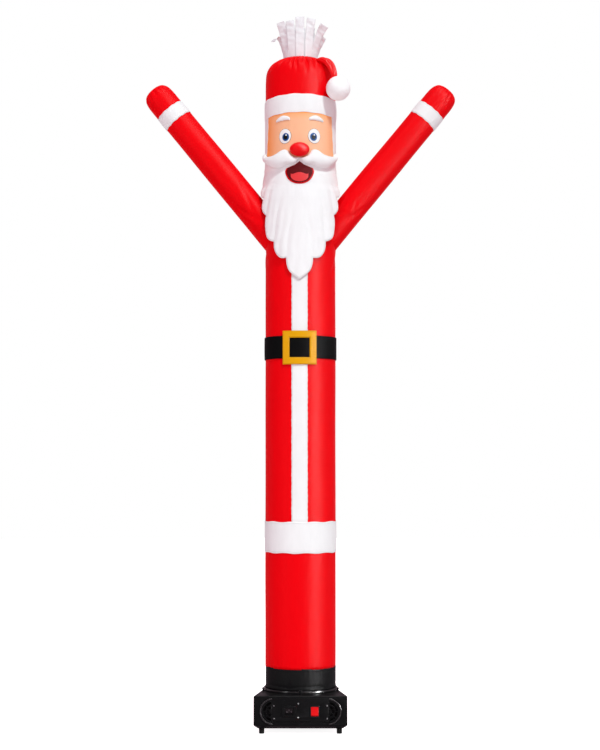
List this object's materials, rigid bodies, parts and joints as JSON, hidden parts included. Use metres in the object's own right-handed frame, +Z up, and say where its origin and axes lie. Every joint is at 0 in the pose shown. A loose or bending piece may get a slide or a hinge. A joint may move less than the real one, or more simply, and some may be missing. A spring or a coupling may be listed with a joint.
{
  "type": "inflatable air dancer on its blower",
  "caption": "Tall inflatable tube figure in a festive coat, beard and hat, with raised arms and streamers at its top vent, held up by air from the low blower box it stands on.",
  "frame": {"origin": "on the ground, under the axis of the cloth tube", "axes": "+Z up along the tube, -Y to the front with the face and the switch, +X to the viewer's right"},
  "size_m": [1.0044, 0.3097, 2.3081],
  "materials": {
    "red_cloth": "satin woven nylon",
    "white_cloth": "soft white nylon",
    "black_cloth": "coated black nylon",
    "gold_cloth": "satin gold nylon",
    "peach_cloth": "printed peach nylon",
    "navy_cloth": "navy nylon",
    "mouth_cloth": "dark red nylon",
    "black_plastic": "fine-grained black",
    "gloss_plastic": "gloss black",
    "red_plastic": "gloss translucent red",
    "rubber": "matt black",
    "screw_steel": "dull steel"
  },
  "bodies": {
    "dancer": {"body_tube": "red_cloth", "chest_tube": "red_cloth", "arm_l": "red_cloth", "arm_r": "red_cloth", "hat_crown": "red_cloth", "hat_tip": "red_cloth", "nose": "red_cloth", "hem_band": "white_cloth", "placket": "white_cloth", "sleeve_band_l": "white_cloth", "sleeve_band_r": "white_cloth", "hat_band": "white_cloth", "pompom": "white_cloth", "streamers": "white_cloth", "beard": "white_cloth", "moustache": "white_cloth", "brow_l": "white_cloth", "brow_r": "white_cloth", "eye_l": "white_cloth", "eye_r": "white_cloth", "pupil_l": "navy_cloth", "pupil_r": "navy_cloth", "mouth": "mouth_cloth", "face_panel": "peach_cloth", "belt": "black_cloth", "cuff": "black_cloth", "buckle": "gold_cloth", "housing": "black_plastic", "outlet_collar": "black_plastic", "flange_ring": "gloss_plastic", "flange_clip": "black_plastic", "lug_l": "black_plastic", "lug_r": "black_plastic", "bezel_l": "gloss_plastic", "bezel_r": "gloss_plastic", "grille_l": "black_plastic", "grille_r": "black_plastic", "control_plate": "black_plastic", "power_inlet": "black_plastic", "switch_bezel": "gloss_plastic", "inlet_pins": "screw_steel", "plate_screw_1": "screw_steel", "plate_screw_2": "screw_steel", "plate_screw_3": "screw_steel", "plate_screw_4": "screw_steel", "plate_screw_5": "screw_steel", "plate_screw_6": "screw_steel", "foot_front_l": "rubber", "foot_front_r": "rubber", "foot_back_l": "rubber", "foot_back_r": "rubber"},
    "switch": {"switch_rocker": "red_plastic"}
  },
  "joints": [
    {"name": "switch_rock", "type": "hinge", "parent": "dancer", "child": "switch", "pos_m": [0.0447, -0.1486, 0.0718], "axis": [1, 0, 0], "range_deg": [0, 22]}
  ]
}
